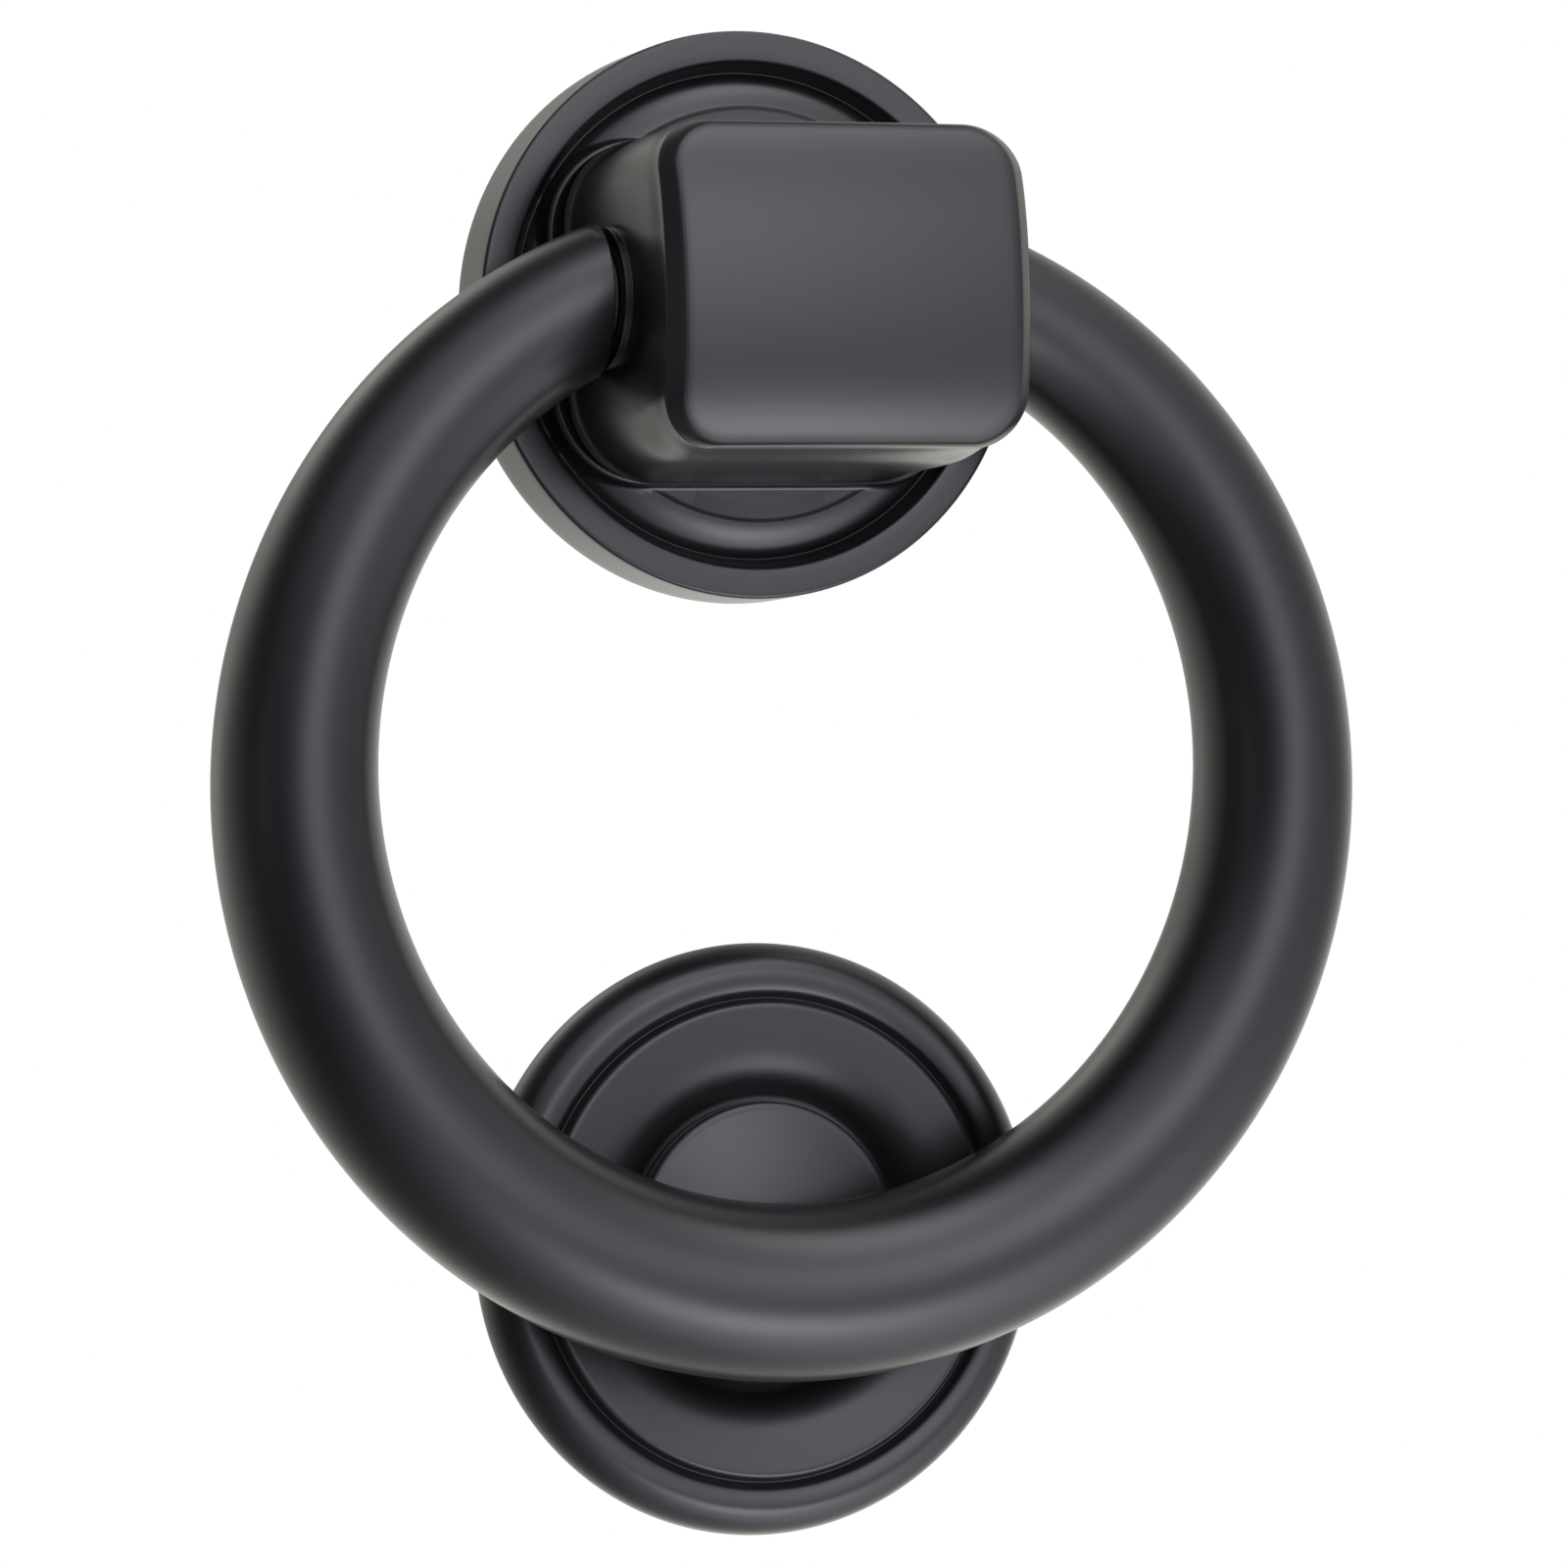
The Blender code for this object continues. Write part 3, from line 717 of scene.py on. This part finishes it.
def dome_nut(name, material, z):
    """A hexagon with chamfered corners and a round dome, on the washer behind the door."""
    low = DOOR_INSIDE + WASHER_SIZE.y + NUT_GAP
    high = low + NUT_HEX_HEIGHT
    stations = [  # (y, the most that the radius may be there)
        (low, NUT_HOLE),
        (low, NUT_FOOT_RADIUS),
        (low + NUT_CHAMFER, NUT_PAST_CORNERS),
        (high - NUT_CHAMFER, NUT_PAST_CORNERS),
        (high, NUT_SHOULDER_RADIUS),
        (high, NUT_DOME_RADIUS),
    ]
    for step in range(1, NUT_DOME_STEPS + 1):
        angle = RIGHT_ANGLE * step / NUT_DOME_STEPS
        radius = max(TIP, NUT_DOME_RADIUS * math.cos(angle))
        stations.append((high + NUT_DOME_RADIUS * math.sin(angle), radius))
    rows = []
    for y, limit in stations:
        row = []
        for angle in turns(NUT_ROUND):
            from_flat = (angle + math.radians(30)) % math.radians(60) - math.radians(30)
            r = min(limit, NUT_ACROSS_FLATS / 2 / math.cos(from_flat))
            row.append((r * math.sin(angle), y, z + r * math.cos(angle)))
        rows.append(row)
    return skin(name, rows, material, sharp=NUT_SHARP)


def flat_ring(name, hole, radius, low, high, spread, material, z, steps):
    """A flat ring between two heights, with its edges rounded off."""
    loop = [(hole, low), (radius, low), (radius, high), (hole, high), (hole, low)]
    return lathe(name, softened(loop, spread)[:-1], material, z, steps, joined=True)


def make_fixings(steel, rubber):
    for prefix, z in (("upper", 0.0), ("strike", STRIKE_Z)):
        stud_centre, stud_size = size_of(f"{prefix}_stud")
        front = -(stud_centre.y - stud_size.y / 2)
        stud = threaded_stud(f"{prefix}_threaded_stud", front, steel, z)
        place(stud, "fixed_parts", "zinc_plated_steel", f"{prefix}_stud")

        low, high = -DOOR_INSIDE, -DOOR_INSIDE - WASHER_SIZE.y
        washer = flat_ring(
            f"{prefix}_plate_washer",
            WASHER_HOLE,
            WASHER_SIZE.x / 2,
            low,
            high,
            WASHER_SPREAD,
            steel,
            z,
            WASHER_ROUND,
        )
        place(washer, "fixed_parts", "zinc_plated_steel", f"{prefix}_washer")

        nut = dome_nut(f"{prefix}_cap_nut", steel, z)
        place(nut, "fixed_parts", "zinc_plated_steel", f"{prefix}_dome_nut")

        size = size_of(f"{prefix}_gasket")[1]
        gasket = flat_ring(
            f"{prefix}_rubber_gasket",
            GASKET_HOLES[prefix],
            size.x / 2,
            0,
            size.y,
            GASKET_SPREAD,
            rubber,
            z,
            GASKET_ROUND,
        )
        if prefix == "upper":
            pin_z = size_of("anti_turn_pin")[0].z
            hole = [(GASKET_PIN_HOLE, -1), (GASKET_PIN_HOLE, 2)]  # right through
            cutter = lathe("pin_hole", hole, None, pin_z, PIN_HOLE_ROUND)
            combined(gasket, [cutter], "DIFFERENCE", SHARP)
        place(gasket, "fixed_parts", "black_rubber", f"{prefix}_gasket")


# ---------------------------------------------------------------- materials


def new_material(name, colour, roughness, metallic):
    material = bpy.data.materials.new(name)
    material.use_nodes = True
    shader = material.node_tree.nodes["Principled BSDF"]
    shader.inputs["Base Color"].default_value = (*colour, 1)
    shader.inputs["Roughness"].default_value = roughness
    shader.inputs["Metallic"].default_value = metallic
    return material, shader


def noise(material, scale, detail):
    nodes, links = material.node_tree.nodes, material.node_tree.links
    coordinates = nodes.new("ShaderNodeTexCoord")
    texture = nodes.new("ShaderNodeTexNoise")
    texture.inputs["Scale"].default_value = scale
    texture.inputs["Detail"].default_value = detail
    links.new(coordinates.outputs["Object"], texture.inputs["Vector"])
    return texture.outputs["Fac"]


def ramp(material, value, low, high, target):
    """Drives the target socket from low to high, two greys or two colours, as the value rises."""
    nodes, links = material.node_tree.nodes, material.node_tree.links
    node = nodes.new("ShaderNodeValToRGB")
    for element, position, level in zip(node.color_ramp.elements, (0.3, 0.7), (low, high)):
        element.position = position
        element.color = (level, level, level, 1) if isinstance(level, float) else (*level, 1)
    links.new(value, node.inputs["Fac"])
    links.new(node.outputs["Color"], target)


def bump(material, shader, heights):
    """Chains bumps of (height value, distance in millimetres, strength) into the normal."""
    nodes, links = material.node_tree.nodes, material.node_tree.links
    normal = None
    for value, distance, strength in heights:
        node = nodes.new("ShaderNodeBump")
        node.inputs["Distance"].default_value = distance * MM
        node.inputs["Strength"].default_value = strength
        links.new(value, node.inputs["Height"])
        if normal:
            links.new(normal, node.inputs["Normal"])
        normal = node.outputs["Normal"]
    links.new(normal, shader.inputs["Normal"])


def powder_coat():
    """Satin black powder coat: a very fine pebble over a broad, faint orange peel."""
    material, shader = new_material("powder_coat", (0.0040, 0.0044, 0.0051), 0.3, 0.0)
    shader.inputs["IOR"].default_value = 1.5
    fine = noise(material, scale=5200, detail=2.0)
    broad = noise(material, scale=700, detail=2.0)
    cloud = noise(material, scale=60, detail=3.0)
    ramp(material, cloud, 0.29, 0.31, shader.inputs["Roughness"])
    darker, lighter = (0.0037, 0.0041, 0.0048), (0.0043, 0.0047, 0.0054)
    ramp(material, cloud, darker, lighter, shader.inputs["Base Color"])
    bump(material, shader, [(broad, 0.01, 0.25), (fine, 0.006, 0.35)])
    return material


def zinc():
    """Bright zinc plate: cloudy in colour and gloss, over a fine grain."""
    material, shader = new_material("zinc_plate", (0.62, 0.62, 0.6), 0.32, 1.0)
    cloud = noise(material, scale=300, detail=4.0)
    grain = noise(material, scale=2500, detail=3.0)
    ramp(material, cloud, 0.25, 0.42, shader.inputs["Roughness"])
    ramp(material, cloud, (0.55, 0.56, 0.55), (0.68, 0.67, 0.64), shader.inputs["Base Color"])
    bump(material, shader, [(grain, 0.01, 0.3)])
    return material


def moulded(name, level, roughness, scale):
    """Moulded nylon or rubber of one grey, with a grain of this scale."""
    material, shader = new_material(name, (level,) * 3, roughness, 0.0)
    grain = noise(material, scale, detail=3.0)
    ramp(material, grain, roughness - 0.06, roughness + 0.06, shader.inputs["Roughness"])
    ramp(material, grain, level * 0.85, level * 1.15, shader.inputs["Base Color"])
    bump(material, shader, [(grain, 0.02, 0.4)])
    return material


STEEL_NODES = (
    "pivot_pin_left",
    "pivot_pin_right",
    "pivot_spring",
    "block_screw_left",
    "block_screw_right",
    "anti_turn_pin",
)
NYLON_NODES = ("pivot_bush_left", "pivot_bush_right", "thrust_washer_left", "thrust_washer_right")


def repaint(nodes, material):
    """CAD nodes whose shape is right keep it and get this material."""
    for name in nodes:
        obj = frame["nodes"][name]
        obj.data.materials.clear()
        obj.data.materials.append(material)


# ---------------------------------------------------------------- studio


def facing(azimuth, elevation):
    """Direction from the object: azimuth 0 is straight out of the door, and 90 is +X."""
    a, e = math.radians(azimuth), math.radians(elevation)
    return Vector((math.sin(a) * math.cos(e), -math.cos(a) * math.cos(e), math.sin(e)))


def make_world():
    """Soft round lights, strength * exp((cosine of the angle off - 1) / width**2), added up.

    The camera sees plain white in their place.
    """
    world = bpy.data.worlds.new("studio")
    bpy.context.scene.world = world
    world.use_nodes = True
    nodes, links = world.node_tree.nodes, world.node_tree.links
    nodes.clear()

    def maths(kind, operation):
        node = nodes.new(kind)
        node.operation = operation
        return node

    coordinates = nodes.new("ShaderNodeTexCoord")
    total = None
    for azimuth, elevation, width, strength, tint in LIGHTS:
        dot = maths("ShaderNodeVectorMath", "DOT_PRODUCT")
        dot.inputs[1].default_value = facing(azimuth, elevation)
        links.new(coordinates.outputs["Generated"], dot.inputs[0])
        less = maths("ShaderNodeMath", "SUBTRACT")
        less.inputs[1].default_value = 1.0
        links.new(dot.outputs["Value"], less.inputs[0])
        times = maths("ShaderNodeMath", "MULTIPLY")
        times.inputs[1].default_value = 1 / math.radians(width) ** 2
        links.new(less.outputs[0], times.inputs[0])
        fall = maths("ShaderNodeMath", "EXPONENT")
        links.new(times.outputs[0], fall.inputs[0])
        lobe = maths("ShaderNodeVectorMath", "SCALE")
        lobe.inputs[0].default_value = [strength * c for c in tint]
        links.new(fall.outputs[0], lobe.inputs["Scale"])
        if total:
            plus = maths("ShaderNodeVectorMath", "ADD")
            links.new(total, plus.inputs[0])
            links.new(lobe.outputs[0], plus.inputs[1])
            total = plus.outputs[0]
        else:
            total = lobe.outputs[0]
    lights = nodes.new("ShaderNodeBackground")
    links.new(total, lights.inputs["Color"])
    white = nodes.new("ShaderNodeBackground")
    white.inputs["Color"].default_value = (1, 1, 1, 1)
    ray = nodes.new("ShaderNodeLightPath")
    mix = nodes.new("ShaderNodeMixShader")
    links.new(ray.outputs["Is Camera Ray"], mix.inputs["Fac"])
    links.new(lights.outputs[0], mix.inputs[1])
    links.new(white.outputs[0], mix.inputs[2])
    output = nodes.new("ShaderNodeOutputWorld")
    links.new(mix.outputs[0], output.inputs["Surface"])
    bpy.context.scene.view_settings.view_transform = "Standard"


def make_floor():
    material, shader = new_material("floor_white", (0.85, 0.85, 0.84), 0.9, 0.0)
    cloud = noise(material, scale=8, detail=2.0)
    ramp(material, cloud, 0.84, 0.86, shader.inputs["Base Color"])
    rows = [
        [(FLOOR_RADIUS * math.cos(a), FLOOR_RADIUS * math.sin(a), z) for a in turns(FLOOR_ROUND)]
        for z in FLOOR_LEVELS
    ]
    skin("studio_floor", rows, material)


def make_camera():
    camera = bpy.data.cameras.new("camera")
    camera.lens = CAMERA_LENS
    camera.sensor_width = CAMERA_SENSOR
    camera.clip_start = CAMERA_CLIP
    obj = bpy.data.objects.new("camera", camera)
    bpy.context.scene.collection.objects.link(obj)
    forward = Vector((
        math.sin(CAMERA_YAW) * math.cos(CAMERA_PITCH),
        math.cos(CAMERA_YAW) * math.cos(CAMERA_PITCH),
        math.sin(CAMERA_PITCH),
    ))
    level = Vector((math.cos(CAMERA_YAW), -math.sin(CAMERA_YAW), 0))
    upright = level.cross(forward)
    right = math.cos(CAMERA_ROLL) * level + math.sin(CAMERA_ROLL) * upright
    up = math.cos(CAMERA_ROLL) * upright - math.sin(CAMERA_ROLL) * level
    turned = Matrix((right, up, -forward)).transposed().to_4x4()
    obj.matrix_world = Matrix.Translation(CAMERA_PLACE) @ turned
    bpy.context.scene.camera = obj


make_camera()
make_world()
make_floor()
paint = powder_coat()
steel = zinc()
nylon = moulded("nylon", 0.03, 0.5, 900)
rubber = moulded("rubber", 0.022, 0.78, 1500)
make_upper_rose(paint)
make_block(paint)
make_ring(paint)
make_strike_rose(paint)
make_strike_button(paint)
make_fixings(steel, rubber)
repaint(STEEL_NODES, steel)
repaint(NYLON_NODES, nylon)
